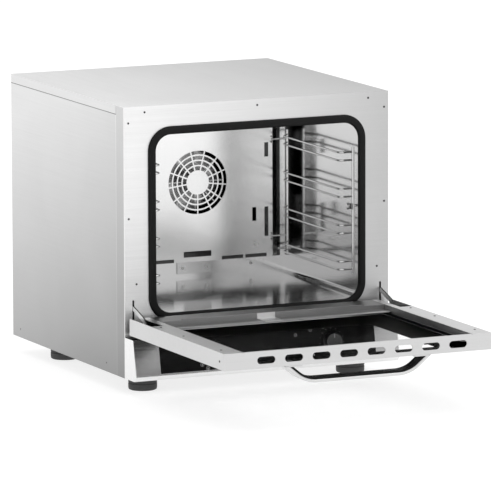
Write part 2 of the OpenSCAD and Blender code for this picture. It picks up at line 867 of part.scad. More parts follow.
module glass_clips() {
    tab_x = [-37.5, 3];
    top = inner_glass_z + glass_t + 1.2;
    wall_y = window_hinge_y - sheet;
    color("silver") at_front() {
        block([tab_x[0], wall_y - sheet, top], [tab_x[1], wall_y, door_top + 2.6]);
        block([tab_x[0], wall_y - 42, top], [tab_x[1], wall_y - sheet, top + sheet]);
    }
}

// Centre line of the strap at one side, in X and Z: straight, then an arc, then up to the door
function strap_side(z) = let (r = 50 + z - handle_low, bend = 50, steps = 8,
    top = [handle_straight + r * sin(bend), z + r * (1 - cos(bend))],
    up = door_z + 2 - top[1]) concat(
    [for (i = [0:steps]) [handle_straight + r * sin(bend * i / steps),
        z + r * (1 - cos(bend * i / steps))]],
    [top + [up / tan(bend), up]]);

module strap(z, half) {
    right = strap_side(z);
    left = [for (i = [len(right) - 1:-1:0]) [-right[i][0], right[i][1]]];
    intersection() {
        strip(concat(left, right), half);
        translate([-handle_straight * 2, 0]) square([handle_straight * 4, door_z]);
    }
}

module handle_bar() {
    pad_t = 3;
    color("silver") at_front() difference() {
        union() {
            across_y(handle_y - handle_wide / 2, handle_y + handle_wide / 2)
                strap(handle_low + strap_t / 2, strap_t / 2);
            both_sides() block([handle_foot_x - 12, handle_y - handle_wide / 2, door_z - pad_t],
                [handle_foot_x + 12, handle_y + handle_wide / 2, door_z]);
        }
        for (x = [-handle_foot_x, handle_foot_x])
            translate([x, handle_y, door_z - 20]) cylinder(r = 2, h = 21);
    }
}

module handle_liner() {
    color("#181818") at_front()
        across_y(handle_y - handle_wide / 2 + 0.5, handle_y + handle_wide / 2 - 0.5)
            translate([-handle_straight, handle_low + strap_t])
                square([2 * handle_straight, liner_skin]);
}

module handle_screws() {
    top = door_z + glass_t;
    color("gray") at_front() for (x = [-handle_foot_x, handle_foot_x])
        translate([x, handle_y, 0]) {
            translate([0, 0, door_z - 14]) cylinder(r = 2, h = glass_t + 14);
            translate([0, 0, top]) cylinder(r = 5.5, h = 3);
        }
}

module door_screws() {
    color("gray") at_front() {
        for (x = [-door_half + 14, door_half - 14], y = [-140, -250, -430])
            translate([x, y, door_top]) cylinder(r = 2.4, h = 0.8);
        both_sides() x_bar(-door_reach + 22, 141, door_half, door_half + 0.8, 2.4);
    }
}

base_pan();
left_side_panel();
right_side_panel();
top_cover();
back_panel();
front_frame();
cavity_liner();
cavity_insulation();
cavity_gasket();
fan_baffle();
baffle_standoffs();
baffle_screws();
heating_ring();
fan_motor();
motor_shaft();
fan_impeller();
left_rack_posts();
left_rack_guides();
right_rack_posts();
right_rack_guides();
rack_thumb_screws();
temperature_probe();
frame_screws();
casing_screws();
fascia_housing();
control_glass();
control_board();
knob_encoder();
control_knob();
cooling_fan_housing();
cooling_fan_rotor();
water_valve();
injection_pipe();
steam_outlet();
cable_gland();
front_left_foot();
front_right_foot();
rear_left_foot();
rear_right_foot();
foot_bolts();
left_hinge_leaf();
right_hinge_leaf();
hinge_receivers();
hinge_pins();
left_hinge_arm();
right_hinge_arm();
left_hinge_cassette();
right_hinge_cassette();
door_shell();
door_inner_panel();
outer_glass();
inner_glass();
glass_holder();
glass_clips();
handle_bar();
handle_liner();
handle_screws();
door_screws();
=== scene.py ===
"""The looks of a counter-top combi steamer oven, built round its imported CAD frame.

Every length here is in metres, in the frame's own axes: X across the front, -Y out of the
door, Z up. Sizes written in millimetres are multiplied by MM.
"""

import json
import math

import bmesh
import bpy
from mathutils import Matrix, Vector


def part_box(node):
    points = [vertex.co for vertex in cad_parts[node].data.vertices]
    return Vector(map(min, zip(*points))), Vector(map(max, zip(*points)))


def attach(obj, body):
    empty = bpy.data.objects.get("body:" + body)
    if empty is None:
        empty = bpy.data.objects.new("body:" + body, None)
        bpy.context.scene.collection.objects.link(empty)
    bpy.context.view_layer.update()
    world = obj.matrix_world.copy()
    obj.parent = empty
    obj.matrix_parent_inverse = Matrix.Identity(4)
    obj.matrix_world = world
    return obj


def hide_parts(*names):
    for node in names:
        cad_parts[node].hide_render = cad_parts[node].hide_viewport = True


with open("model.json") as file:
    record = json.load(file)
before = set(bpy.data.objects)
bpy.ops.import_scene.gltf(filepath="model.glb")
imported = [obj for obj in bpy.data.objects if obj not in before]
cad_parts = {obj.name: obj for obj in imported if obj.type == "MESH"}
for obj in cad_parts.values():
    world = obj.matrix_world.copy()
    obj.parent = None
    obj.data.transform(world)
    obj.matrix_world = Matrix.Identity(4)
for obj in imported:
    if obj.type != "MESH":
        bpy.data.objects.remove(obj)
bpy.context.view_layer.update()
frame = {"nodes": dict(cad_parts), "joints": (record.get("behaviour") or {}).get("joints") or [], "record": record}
record = frame["record"]
cad = frame["nodes"]
joints = {joint["name"]: joint for joint in frame["joints"]}
mounts = {mount["name"]: mount for mount in record["mounts"]}
slot_of = {part["node"]: part["material_slot"] for part in record["subparts"]}

MM = 0.001
front_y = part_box("front_frame")[0].y
rear_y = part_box("back_panel")[1].y
baffle_low, baffle_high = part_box("fan_baffle")
baffle_y = baffle_low.y
# How far a screw's head stands out, as a share of its radius
HEAD_RISE = 0.42
# Points closer than this are one point
WELD = 0.001 * MM


# ---------------------------------------------------------------- node materials

class Recipe:
    """One material's node tree, with short calls that add its nodes."""

    def __init__(self, name, **uniform):
        self.material = bpy.data.materials.new(name)
        self.material.use_nodes = True
        self.tree = self.material.node_tree
        self.shader = self.tree.nodes["Principled BSDF"]
        self.place = self.add("ShaderNodeTexCoord").outputs["Object"]
        self.normal = None
        for socket, value in uniform.items():
            self.set(socket.replace("_", " "), value)

    def add(self, kind, inputs=None, **settings):
        """Adds a node. Each input is a plain value or another node's output."""
        node = self.tree.nodes.new(kind)
        for name, value in settings.items():
            setattr(node, name, value)
        for socket, value in (inputs or {}).items():
            if isinstance(value, bpy.types.NodeSocket):
                self.tree.links.new(value, node.inputs[socket])
            else:
                node.inputs[socket].default_value = value
        return node

    def set(self, socket, value):
        """Gives the shader's socket a plain value or another node's output."""
        if isinstance(value, bpy.types.NodeSocket):
            self.tree.links.new(value, self.shader.inputs[socket])
        else:
            self.shader.inputs[socket].default_value = value

    def noise(self, per_metre, detail=4.0, roughness=0.55, warp=0.0):
        """Noise between 0 and 1. per_metre is one number, or one for each axis."""
        scale = (per_metre,) * 3 if isinstance(per_metre, (int, float)) else per_metre
        spot = self.add("ShaderNodeMapping", {"Vector": self.place, "Scale": scale})
        made = self.add("ShaderNodeTexNoise", {
            "Vector": spot.outputs[0], "Scale": 1.0, "Detail": detail,
            "Roughness": roughness, "Distortion": warp})
        return made.outputs["Fac"]

    def spread(self, value, low, high, start=0.3, end=0.7):
        """Maps start..end of a value to low..high."""
        made = self.add("ShaderNodeMapRange", {
            0: value, 1: start, 2: end, 3: low, 4: high}, interpolation_type="SMOOTHSTEP")
        return made.outputs[0]

    def maths(self, operation, first, second):
        """One sum on two values, each a number or another node's output."""
        return self.add("ShaderNodeMath", {0: first, 1: second}, operation=operation).outputs[0]

    def along(self, direction, start, end, low, high):
        """Maps the distance along a direction, in metres, from low at start to high at end."""
        way = Vector(direction).normalized()
        reach = self.add("ShaderNodeVectorMath", {0: self.place, 1: tuple(way)},
                         operation="DOT_PRODUCT").outputs["Value"]
        return self.add("ShaderNodeMapRange", {0: reach, 1: start, 2: end, 3: low, 4: high}).outputs[0]

    def tint(self, share, dark, light):
        """A colour between two others, each three numbers or another node's output."""
        made = self.add("ShaderNodeMix", data_type="RGBA", clamp_factor=True)
        self.tree.links.new(share, made.inputs["Factor"])
        for socket, value in zip([s for s in made.inputs if s.type == "RGBA"], (dark, light)):
            if isinstance(value, bpy.types.NodeSocket):
                self.tree.links.new(value, socket)
            else:
                socket.default_value = (*value, 1)
        return next(s for s in made.outputs if s.type == "RGBA")

    def darkened_along(self, colour, fall):
        """A colour that loses a share of its brightness along a direction, as painted shade, or the same colour.
        """
        if fall is None:
            return colour
        direction, start, end, share = fall
        left = self.along(direction, start, end, 1.0, 1.0 - share)
        return self.add("ShaderNodeVectorMath", {0: colour, 1: left},
                        operation="MULTIPLY").outputs["Vector"]

    def shaded(self, colour, low, high, kept, edge=2 * MM):
        """A colour whose brightness is multiplied by kept inside a box with soft edges: painted shade, and painted
        highlight where kept is over 1.
        """
        axes = self.add("ShaderNodeSeparateXYZ", {0: self.place}).outputs
        inside = 1.0
        for axis, start, end in zip(axes, low, high):
            after = self.spread(axis, 0.0, 1.0, start, start + edge)
            before = self.spread(axis, 1.0, 0.0, end - edge, end)
            inside = self.maths("MULTIPLY", inside, self.maths("MULTIPLY", after, before))
        share = self.spread(inside, 1.0, kept, 0.0, 1.0)
        return self.add("ShaderNodeVectorMath", {0: colour, 1: share},
                        operation="MULTIPLY").outputs["Vector"]

    def bump(self, height, strength, distance):
        """Adds a relief on top of those already there."""
        inputs = {"Height": height, "Strength": strength, "Distance": distance}
        if self.normal is not None:
            inputs["Normal"] = self.normal
        self.normal = self.add("ShaderNodeBump", inputs).outputs[0]
        self.set("Normal", self.normal)


def grey(value):
    """A colour whose three parts are equal."""
    return (value, value, value)


def streak_tones(tone):
    """The darkest and the lightest of a brushed sheet's grain lines."""
    return grey(tone * 0.95), grey(tone * 1.03)


def brushed_steel(name, tone, rough, grain, fall=None, returns=None, shades=(), cut=None):
    """Sheet steel with grain lines. grain is how many lines a metre there are along X, Y, Z.

    fall, as (direction, start, end, share), darkens the sheet by share from start to end, as painted shade.
    returns, as (Y, tone, fall), is the tone of its folded sides behind that Y, painted darker than the face as
    shade, with fall as their own painted shade.
    shades, as (lowest corner, highest corner, factor), are boxes of painted shade and highlight that change its
    brightness.
    cut is the tone of a plate's cut edges, which face away from X: their own darker tone, deepened as a painted
    dark reflection.
    """
    steel = Recipe(name, Metallic=1.0)
    fine = steel.noise(grain, detail=3.0, roughness=0.6)
    broad = steel.noise(tuple(n / 6 for n in grain), detail=2.0)
    cloud = steel.noise(5.0, detail=3.0, warp=0.6)
    streaks = steel.maths("ADD", steel.spread(fine, 0.0, 0.6), steel.spread(broad, 0.0, 0.4))
    colour = steel.darkened_along(steel.tint(streaks, *streak_tones(tone)), fall)
    # The folded sides: a painted darker tone, with their own painted shade
    if returns:
        fold, side_tone, side_fall = returns
        side = steel.tint(streaks, *streak_tones(side_tone))
        behind = steel.along((0, 1, 0), fold, fold + 2 * MM, 0.0, 1.0)
        colour = steel.tint(behind, colour, steel.darkened_along(side, side_fall))
    for low, high, factor in shades:
        colour = steel.shaded(colour, low, high, factor, edge=0.4 * MM)
    # Cut edges: a darker cut tone, deepened to near black as painted dark reflection
    if cut:
        facing = steel.add("ShaderNodeTexCoord").outputs["Normal"]
        across = steel.add("ShaderNodeSeparateXYZ", {0: facing}).outputs[0]
        colour = steel.tint(steel.maths("MULTIPLY", across, across), grey(cut), colour)
    steel.set("Base Color", colour)
    worn = steel.maths("ADD", steel.spread(streaks, rough - 0.03, rough + 0.04, 0.0, 1.0),
                       steel.spread(cloud, -0.025, 0.025))
    steel.set("Roughness", worn)
    steel.bump(fine, 0.05, 0.05 * MM)
    return steel.material


def polished_steel(name, tone, rough, fall=None, shades=()):
    """Smooth sheet that mirrors its surroundings, slightly wavy and wiped in places.

    fall and shades are as for brushed_steel.
    """
    steel = Recipe(name, Metallic=1.0)
    cloud = steel.noise(7.0, detail=4.0, warp=1.2)
    fine = steel.noise((900.0, 900.0, 60.0), detail=2.0)
    colour = steel.darkened_along(steel.tint(cloud, grey(tone * 0.96), grey(tone)), fall)
    for low, high, factor in shades:
        colour = steel.shaded(colour, low, high, factor)
    steel.set("Base Color", colour)
    wiped = steel.maths("ADD", steel.spread(cloud, rough - 0.02, rough + 0.02),
                        steel.spread(fine, 0.0, 0.02))
    steel.set("Roughness", wiped)
    steel.bump(steel.noise(9.0, detail=1.0), 0.25, 1.2 * MM)
    return steel.material


def plain_metal(name, colour, rough, per_metre=400.0, stain=0.15, depth=0.1):
    """Turned, cast or plated metal with a fine uneven surface."""
    metal = Recipe(name, Metallic=1.0)
    fine = metal.noise(per_metre, detail=5.0)
    cloud = metal.noise(per_metre / 12, detail=3.0)
    dark = tuple(c * (1 - stain) for c in colour)
    metal.set("Base Color", metal.tint(cloud, dark, colour))
    metal.set("Roughness", metal.spread(fine, rough - 0.06, rough + 0.08))
    metal.bump(fine, depth, 0.05 * MM)
    return metal.material


def moulded(name, colour, rough, per_metre=900.0, depth=0.2, dust=0.3, specular=0.5):
    """Plastic or rubber with a fine moulded grain and a trace of dust."""
    made = Recipe(name, Specular_IOR_Level=specular)
    grain = made.noise(per_metre, detail=3.0)
    cloud = made.noise(25.0, detail=4.0, warp=0.5)
    light = tuple(c + (0.2 - c) * dust * 0.3 for c in colour)
    made.set("Base Color", made.tint(cloud, colour, light))
    made.set("Roughness", made.maths("ADD", made.spread(grain, rough - 0.05, rough + 0.05),
                                     made.spread(cloud, -0.04, 0.06)))
    made.bump(grain, depth, 0.1 * MM)
    return made.material


def glass(name, tint, ior):
    """Clear sheet glass, with wiping marks that only show in its gloss."""
    pane = Recipe(name, Transmission_Weight=1.0, IOR=ior)
    wiped = pane.noise((14.0, 60.0, 14.0), detail=4.0, warp=0.8)
    pane.set("Base Color", pane.tint(wiped, tuple(c * 0.985 for c in tint), tint))
    pane.set("Roughness", pane.spread(wiped, 0.0, 0.03, 0.45, 0.8))
    return pane.material


def black_glass(name, rough, specular):
    """Glass printed black behind, with a faint film of wiping marks."""
    pane = Recipe(name, Specular_IOR_Level=specular)
    wiped = pane.noise((20.0, 20.0, 90.0), detail=4.0, warp=0.6)
    pane.set("Base Color", pane.tint(wiped, grey(0.004), grey(0.009)))
    pane.set("Roughness", pane.spread(wiped, rough, rough + 0.08, 0.4, 0.8))
    return pane.material


def mineral_wool(name):
    """Yellowish matted fibres."""
    wool = Recipe(name, Roughness=0.95, Sheen_Weight=0.3)
    fibres = wool.noise((260.0, 700.0, 260.0), detail=6.0, roughness=0.7, warp=2.0)
    wool.set("Base Color", wool.tint(fibres, (0.42, 0.36, 0.22), (0.78, 0.71, 0.50)))
    wool.bump(fibres, 0.8, 1.0 * MM)
    return wool.material


def circuit_board(name):
    """Green board with a pattern of lighter tracks."""
    board = Recipe(name)
    tracks = board.add("ShaderNodeTexBrick", {
        "Vector": board.place, "Scale": 90.0, "Mortar Size": 0.03,
        "Color1": (0.01, 0.09, 0.03, 1), "Color2": (0.015, 0.13, 0.045, 1),
        "Mortar": (0.03, 0.2, 0.08, 1)})
    board.set("Base Color", tracks.outputs["Color"])
    board.set("Roughness", board.spread(board.noise(300.0), 0.35, 0.5))
    return board.material


def heated_steel(name):
    """Heater tube, browned and blued by its own heat."""
    tube = Recipe(name, Metallic=1.0)
    cloud = tube.noise(45.0, detail=4.0, warp=1.0)
    tube.set("Base Color", tube.tint(cloud, (0.10, 0.085, 0.08), (0.24, 0.20, 0.17)))
    tube.set("Roughness", tube.spread(tube.noise(500.0), 0.4, 0.6))
    tube.bump(tube.noise(700.0), 0.2, 0.1 * MM)
    return tube.material


# ---------------------------------------------------------------- finishes

def shade_box(half_wide, y_range, z_range, factor):
    """A box centred on X in which a finish's brightness is multiplied by factor, as painted shade, and as painted
    highlight where factor is over 1.
    """
    return (-half_wide, y_range[0], z_range[0]), (half_wide, y_range[1], z_range[1]), factor


panel_low, panel_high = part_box("left_side_panel")
top_low, top_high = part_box("top_cover")
door_low, door_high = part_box("door_shell")
housing_low, housing_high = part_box("fascia_housing")
# Painted shade on the liner behind the baffle, darkened to nearly black
shade_behind_baffle = shade_box(235 * MM, (baffle_y + 40 * MM, baffle_y + 90 * MM),
                          (baffle_low.z - 11 * MM, baffle_high.z + 20 * MM), factor=0.09)
# Painted highlight along the bright fold at the side panels' front edge
panel_edge_highlight = shade_box(1 * MM - panel_low.x, (front_y + 39 * MM, front_y + 42 * MM),
                       (0.0, panel_high.z), factor=1.25)
# Painted shadow in the joint along the lower edge of the top cover's folded sides
top_seam_shadow = shade_box(top_high.x + 1 * MM, (front_y, rear_y + 1 * MM),
                     (top_low.z - 1 * MM, top_low.z + 1.6 * MM), factor=0.2)
# Painted shade inside the door's hinge end, seen through the hinge notches
inside_door_shade = shade_box(289 * MM, (door_high.y - 40 * MM, door_high.y - 0.3 * MM),
                        (door_low.z + 8 * MM, door_high.z + 2 * MM), factor=0.06)
# Painted dark reflection on the door's hinge border, which faces the dark gap under the gasket
hinge_border_shade = shade_box(250 * MM, (front_y - 78 * MM, front_y),
                         (door_low.z + 25 * MM, door_high.z + 5 * MM), factor=0.42)
# The control housing's sloping face, in the open door's shade
under_door = shade_box(293.4 * MM, (housing_low.y - 2 * MM, front_y - 30 * MM),
                       (housing_low.z + 10.4 * MM, housing_high.z - 0.5 * MM), factor=0.6)
# Grain lines a metre along X, Y and Z
ALONG_Y = (900.0, 8.0, 900.0)
ALONG_X = (8.0, 900.0, 900.0)
ALONG_HANDLE = (8.0, 900.0, 40.0)
# Tones, and falls of painted shade, as brushed_steel takes them
CASING_TONE = 0.77
# Painted shade on the casing: darker towards the bottom and the front
CASING_SHADE_FALL = ((0, -0.3, -1), -0.62, 0.0, 0.64)
# Painted shade on the top cover: darker towards the right
TOP_SHADE_FALL = ((1, 0, 0), -0.3, 0.3, 0.32)
# Painted shade on the front frame: darker towards the right and a little towards the bottom
FRONT_SHADE_FALL = ((1, 0, -0.15), -0.35, 0.25, 0.42)
# The front frame's folded sides: a painted darker tone, with the casing's painted shade
FRONT_SHADED_RETURNS = (front_y + 2 * MM, 0.95 * CASING_TONE, CASING_SHADE_FALL)
# Painted shade on the fan baffle: darker towards the bottom and a little to the right
BAFFLE_SHADE_FALL = ((0.3, 0, -1), -0.5, -0.1, 0.2)
finishes = {
    "casing_steel": brushed_steel("casing_steel", CASING_TONE, rough=0.40, grain=ALONG_Y,
                                  fall=CASING_SHADE_FALL, shades=[panel_edge_highlight]),
    "top_steel": brushed_steel("top_steel", CASING_TONE, rough=0.40, grain=ALONG_Y,
                               fall=TOP_SHADE_FALL, shades=[top_seam_shadow]),
    "front_steel": brushed_steel("front_steel", 0.90, rough=0.42, grain=ALONG_X,
                                 fall=FRONT_SHADE_FALL, returns=FRONT_SHADED_RETURNS),
    "fascia_steel": brushed_steel("fascia_steel", 0.84, rough=0.22, grain=ALONG_X,
                                  shades=[under_door]),
    "door_steel": brushed_steel("door_steel", 0.64, rough=0.38, grain=ALONG_X,
                                shades=[inside_door_shade]),
    "border_steel": brushed_steel("border_steel", 0.66, rough=0.38, grain=ALONG_X,
                                  shades=[hinge_border_shade]),
    # The hinge arms' near-black cut edges are partly painted dark reflection
    "arm_steel": brushed_steel("arm_steel", 0.80, rough=0.42, grain=ALONG_Y, cut=0.04),
    "strip_steel": brushed_steel("strip_steel", 0.60, rough=0.40, grain=ALONG_X),
    "holder_steel": brushed_steel("holder_steel", 0.26, rough=0.40, grain=ALONG_X),
    "handle_metal": brushed_steel("handle_metal", 0.66, rough=0.30, grain=ALONG_HANDLE),
    "cavity_steel": polished_steel("cavity_steel", 0.76, rough=0.13),
    "liner_steel": polished_steel("liner_steel", 0.76, rough=0.13, shades=[shade_behind_baffle]),
    "baffle_steel": polished_steel("baffle_steel", 0.88, rough=0.20, fall=BAFFLE_SHADE_FALL),
    "bracket_steel": polished_steel("bracket_steel", 0.68, rough=0.22),
    "rivet_steel": plain_metal("rivet_steel", grey(0.92), rough=0.55, per_metre=600.0),
    "screw_steel": plain_metal("screw_steel", grey(0.09), rough=0.35, per_metre=900.0),
    "motor_metal": plain_metal("motor_metal", grey(0.42), rough=0.45, per_metre=500.0,
                               depth=0.3),
    "shaft_steel": plain_metal("shaft_steel", grey(0.62), rough=0.25),
    "impeller_steel": plain_metal("impeller_steel", grey(0.70), rough=0.28, per_metre=200.0),
    "rack_wire": plain_metal("rack_wire", grey(0.78), rough=0.14, per_metre=250.0,
                             stain=0.08, depth=0.03),
    "knob_metal": plain_metal("knob_metal", grey(0.10), rough=0.32, per_metre=600.0),
    "copper": plain_metal("copper", (0.85, 0.42, 0.25), rough=0.32, per_metre=300.0,
                          stain=0.4),
    "hinge_steel": plain_metal("hinge_steel", grey(0.32), rough=0.38, per_metre=500.0,
                               stain=0.35, depth=0.2),
    "heater_steel": heated_steel("heater_steel"),
    "gasket_rubber": moulded("gasket_rubber", grey(0.007), rough=0.5, depth=0.15, dust=0.1,
                             specular=0.12),
    "foot_rubber": moulded("foot_rubber", grey(0.028), rough=0.6, per_metre=700.0, depth=0.3,
                           dust=0.5),
    "handle_rubber": moulded("handle_rubber", grey(0.006), rough=0.5, dust=0.1, specular=0.1),
    "black_plastic": moulded("black_plastic", grey(0.02), rough=0.45),
    "icon_print": moulded("icon_print", grey(0.28), rough=0.5, dust=0.0),
    "panel_glass": black_glass("panel_glass", rough=0.10, specular=0.12),
    "glass_print": black_glass("glass_print", rough=0.45, specular=0.02),
    "outer_door_glass": glass("outer_door_glass", grey(0.95), ior=1.006),
    "clear_glass": glass("clear_glass", grey(0.985), ior=1.004),
    "insulation_wool": mineral_wool("insulation_wool"),
    "board": circuit_board("board"),
}
# Nodes whose finish differs from the one that their material slot names
own_finish = {
    "front_frame": "front_steel",
    "top_cover": "top_steel",
    "fascia_housing": "fascia_steel",
    "door_inner_panel": "border_steel",
    "glass_holder": "holder_steel",
    "cavity_liner": "liner_steel",
    "fan_baffle": "baffle_steel",
    "baffle_standoffs": "bracket_steel",
    "baffle_screws": "rivet_steel",
    "rack_thumb_screws": "rack_wire",
    "left_hinge_arm": "arm_steel",
    "right_hinge_arm": "arm_steel",
}


def dress(piece, finish):
    """Gives a piece one of the finishes in place of its own materials."""
    piece.data.materials.clear()
    piece.data.materials.append(finishes[finish])


# ---------------------------------------------------------------- pieces

def piece_from(name, bm, finish, body, replaces=(), smooth_deg=35.0):
    """Makes a mesh piece that rides on a body. Edges sharper than smooth_deg stay sharp.

    replaces lists the CAD nodes that it stands for.
    """
    bmesh.ops.remove_doubles(bm, verts=bm.verts, dist=WELD)
    bmesh.ops.recalc_face_normals(bm, faces=bm.faces)
    mesh = bpy.data.meshes.new(name)
    bm.to_mesh(mesh)
    bm.free()
    mesh.shade_smooth()
    mesh.set_sharp_from_angle(angle=math.radians(smooth_deg))
    piece = bpy.data.objects.new(name, mesh)
    bpy.context.scene.collection.objects.link(piece)
    dress(piece, finish)
    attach(piece, body)
    if replaces:
        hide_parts(*replaces)


def skin_rows(bm, rows, closed_rows=False):
    """Faces between rows of points, each row a closed loop. Flat caps end an open run."""
    made = [[bm.verts.new(point) for point in row] for row in rows]
    pairs = list(zip(made, made[1:]))
    if closed_rows:
        pairs.append((made[-1], made[0]))
    for first, second in pairs:
        count = len(first)
        for i in range(count):
            j = (i + 1) % count
            bm.faces.new((first[i], first[j], second[j], second[i]))
    if not closed_rows:
        bm.faces.new(made[0])
        bm.faces.new(made[-1])


def turned(bm, outline, base, axis, sides=48, flute=None):
    """Turns an outline of (radius, height) round an axis through base.

    flute(height, angle) may scale the radius, for ribs and knurls.
    """
    turn = Vector(axis).to_track_quat("Z", "Y").to_matrix()
    rows = []
    for radius, height in outline:
        row = []
        for i in range(sides):
            angle = 2 * math.pi * i / sides
            r = radius * (flute(height, angle) if flute else 1.0)
            spot = Vector((r * math.cos(angle), r * math.sin(angle), height))
            row.append(Vector(base) + turn @ spot)
        rows.append(row)
    skin_rows(bm, rows)


def ribbed(depth, ribs, angle):
    """Factor on a radius, at an angle, where it is cut in by a share, depth, between ribs."""
    return 1 - depth * (0.5 - 0.5 * math.cos(ribs * angle))


def rounded_box(bm, low, high, round_by):
    """Box with rounded edges."""
    made = bmesh.ops.create_cube(bm, size=1.0)["verts"]
    low, high = Vector(low), Vector(high)
    for vert in made:
        vert.co = Vector((low[i] + (vert.co[i] + 0.5) * (high[i] - low[i]) for i in range(3)))
    edges = list({edge for vert in made for edge in vert.link_edges})
    bmesh.ops.bevel(bm, geom=edges, offset=round_by, segments=2, profile=0.5, affect="EDGES")


def islands(node):
    """Boxes of a CAD node's separate solids, as (lowest corner, highest corner)."""
    bm = bmesh.new()
    bm.from_mesh(cad[node].data)
    bmesh.ops.remove_doubles(bm, verts=bm.verts, dist=WELD)
    left = set(bm.verts)
    boxes = []
    while left:
        group, waiting = set(), [left.pop()]
        while waiting:
            vert = waiting.pop()
            group.add(vert)
            for edge in vert.link_edges:
                other = edge.other_vert(vert)
                if other in left:
                    left.discard(other)
                    waiting.append(other)
        low = Vector([min(v.co[i] for v in group) for i in range(3)])
        high = Vector([max(v.co[i] for v in group) for i in range(3)])
        boxes.append((low, high))
    bm.free()
    return sorted(boxes, key=lambda pair: tuple(round(c, 5) for c in pair[0]))


def soften(node):
    """Rounds a CAD node's sharp edges with modifiers, leaving its mesh as it is."""
    piece = cad[node]
    custom = piece.data.attributes.get("custom_normal")
    if custom is not None:
        piece.data.attributes.remove(custom)
    piece.data.shade_smooth()
    weld = piece.modifiers.new("weld", "WELD")
    weld.merge_threshold = WELD
    bevel = piece.modifiers.new("edge_round", "BEVEL")
    bevel.limit_method = "ANGLE"
    bevel.angle_limit = math.radians(32)
    bevel.width = 0.45 * MM
    bevel.segments = 2
    bevel.harden_normals = True
    bevel.miter_outer = "MITER_ARC"


# ---------------------------------------------------------------- gasket

def corner_path(low, high, radius, steps=14):
    """Rounded rectangle in X and Z: points with their outward directions."""
    path = []
    for sx, sz, start in ((1, 1, 0), (-1, 1, 90), (-1, -1, 180), (1, -1, 270)):
        centre = Vector(((high.x - radius) if sx > 0 else (low.x + radius),
                         (high.z - radius) if sz > 0 else (low.z + radius)))
        for i in range(steps + 1):
            angle = math.radians(start + 90 * i / steps)
            out = Vector((math.cos(angle), math.sin(angle)))
            path.append((centre + radius * out, out))
    return path


def make_gasket():
    """Silicone door seal: a rounded bulb between two thin lips, round the cavity opening."""
    low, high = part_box("cavity_gasket")
    outer_radius = 50 * MM
    wide = 16.5 * MM
    height = high.y - low.y
    lip = 2.4 * MM
    lip_wide = 1.2 * MM
    chamfer = 0.5 * MM
    bulb_steps = 14
    squareness = 0.45
    profile = [(0.0, 0.0), (0.0, lip - chamfer), (chamfer, lip), (lip_wide, lip)]
    for i in range(bulb_steps + 1):
        angle = math.pi * i / bulb_steps
        across = wide / 2 - (wide / 2 - lip_wide) * math.cos(angle)
        profile.append((across, lip + (height - lip) * math.sin(angle) ** squareness))
    profile += [(wide - chamfer, lip), (wide, lip - chamfer), (wide, 0.0)]
    rows = []
    for spot, out in corner_path(low, high, outer_radius):
        rows.append([Vector((spot.x - out.x * across, high.y - rise, spot.y - out.y * across))
                     for across, rise in profile])
    bm = bmesh.new()
    skin_rows(bm, rows, closed_rows=True)
    piece_from("door_seal", bm, "gasket_rubber", "casing",
               ["cavity_gasket"], smooth_deg=50)


def make_gap_shadow_strip():
    """Thin dark strip on the control housing under the door: a painted shadow for the gap between the front frame
    and the housing.
    """
    reach = 38 * MM
    thick = 0.8 * MM
    gap = 1 * MM
    bm = bmesh.new()
    rounded_box(bm, (housing_low.x + gap, front_y - reach, housing_high.z),
                (housing_high.x - gap, front_y - gap, housing_high.z + thick), 0.3 * MM)
    piece_from("gap_shadow_strip", bm, "gasket_rubber", "casing")


# ---------------------------------------------------------------- door

def make_glass_print():
    """Black enamel in the outer glass, just under its inner face, and round its edges."""
    low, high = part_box("outer_glass")
    clear_half = 192.5 * MM
    free_end = 52 * MM
    hinge_end = 110 * MM
    over = 0.06 * MM
    thick = 0.04 * MM
    top = high.z - 0.02 * MM
    under = high.z - 0.14 * MM
    edge = low.z + 0.3 * MM

    def loop(half_wide, y_range, height):
        corners = [(-half_wide, y_range[0]), (half_wide, y_range[0]),
                   (half_wide, y_range[1]), (-half_wide, y_range[1])]
        return [(x, y, height) for x, y in corners]

    def border(grown, height):
        return loop(high.x + grown, (low.y - grown, high.y + grown), height)

    def window(height):
        return loop(clear_half, (low.y + free_end, high.y - hinge_end), height)
    bm = bmesh.new()
    skin_rows(bm, [border(over, edge), border(over, top), window(top), window(under),
                   border(over - thick, under), border(over - thick, edge)], closed_rows=True)
    piece_from("glass_print", bm, "glass_print", "door")


def make_glass_strip():
    """Thin steel strip on the inner glass, along the holder of its hinge edge."""
    low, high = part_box("inner_glass")
    holder_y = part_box("glass_holder")[0].y
    wide = 12 * MM
    thick = 0.9 * MM
    inset = 2 * MM
    bm = bmesh.new()
    rounded_box(bm, (low.x + inset, holder_y - wide, high.z),
                (high.x - inset, holder_y - 0.1 * MM, high.z + thick), 0.3 * MM)
    piece_from("glass_strip", bm, "strip_steel", "door")


def handle_path(offset, bottom, top, straight, inner_radius, bend_deg, steps=18):
    """Points and outward directions along the bow handle, seen from the front.

    offset is measured up from the strap's underside, towards the inside of the bow.
    """
    radius = inner_radius - offset
    bend = math.radians(bend_deg)
    side = []
    for i in range(steps + 1):
        angle = bend * i / steps
        side.append((Vector((straight + radius * math.sin(angle),
                             bottom + offset + radius * (1 - math.cos(angle)))),
                     Vector((math.sin(angle), -math.cos(angle)))))
    last = side[-1][0]
    rise = top - last.y
    side.append((Vector((last.x + rise / math.tan(bend), top)), Vector((1 / math.sin(bend), 0))))
    mirrored = [(Vector((-p.x, p.y)), Vector((-n.x, n.y))) for p, n in reversed(side)]
    return mirrored + side


def strap_rows(path, half_wide, thick, round_by, centre_y, steps=4):
    """Rounded flat section along a path, from its outer face inwards."""
    corners = []
    for sy, st, start in ((1, 1, 0), (-1, 1, 90), (-1, -1, 180), (1, -1, 270)):
        for i in range(steps + 1):
            angle = math.radians(start + 90 * i / steps)
            corners.append((sy * (half_wide - round_by) + round_by * math.cos(angle),
                            st * (thick / 2 - round_by) + round_by * math.sin(angle)))
    return [[Vector((p.x + n.x * t, centre_y + y, p.y + n.y * t)) for y, t in corners]
            for p, n in path]


